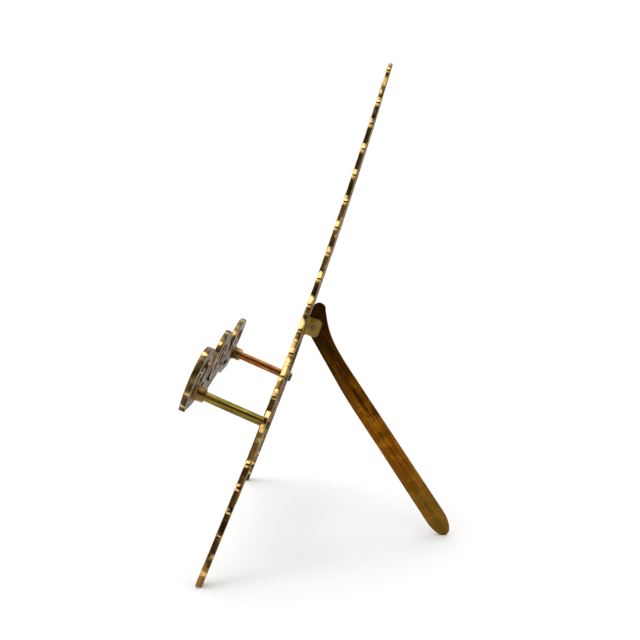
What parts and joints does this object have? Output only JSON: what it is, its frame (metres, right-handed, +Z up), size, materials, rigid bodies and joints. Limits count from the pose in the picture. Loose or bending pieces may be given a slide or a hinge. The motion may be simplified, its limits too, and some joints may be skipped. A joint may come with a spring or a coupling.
{
  "type": "folding tabletop music stand",
  "caption": "Folding tabletop music stand: bowed openwork brass back panel on two feet, scrolled book rail on two round posts, and a flat prop leg hinged behind.",
  "frame": {"origin": "middle of the footprint, on the surface the stand stands on", "axes": "+Z up; the reader is on the -Y side; +X is the reader's right"},
  "size_m": [0.2196, 0.1832, 0.3325],
  "materials": {
    "cast_brass": "aged polished cast brass, dark in the hollows",
    "rail_brass": "aged cast brass with grey-brown tarnish on the back",
    "post_copper": "turned rod, warm copper tarnish",
    "post_olive": "turned rod, olive gold tarnish",
    "dark_screw": "nearly black tarnish",
    "lug_brass": "matt olive brass",
    "pin_steel": "darkened steel",
    "leg_bronze": "dull brown bronze patina with lengthwise streaks"
  },
  "bodies": {
    "stand": {"back_panel": "cast_brass", "front_rail": "rail_brass", "post_left": "post_copper", "post_right": "post_olive", "post_screws": "dark_screw", "hinge_lug_left": "lug_brass", "hinge_lug_right": "lug_brass", "lug_rivets": "dark_screw", "hinge_pin": "pin_steel"},
    "leg": {"prop_leg": "leg_bronze"}
  },
  "joints": [
    {"name": "leg_fold", "type": "hinge", "parent": "stand", "child": "leg", "pos_m": [0, -0.01169, 0.14854], "axis": [-1, 0, 0], "range_deg": [0, 48]}
  ]
}
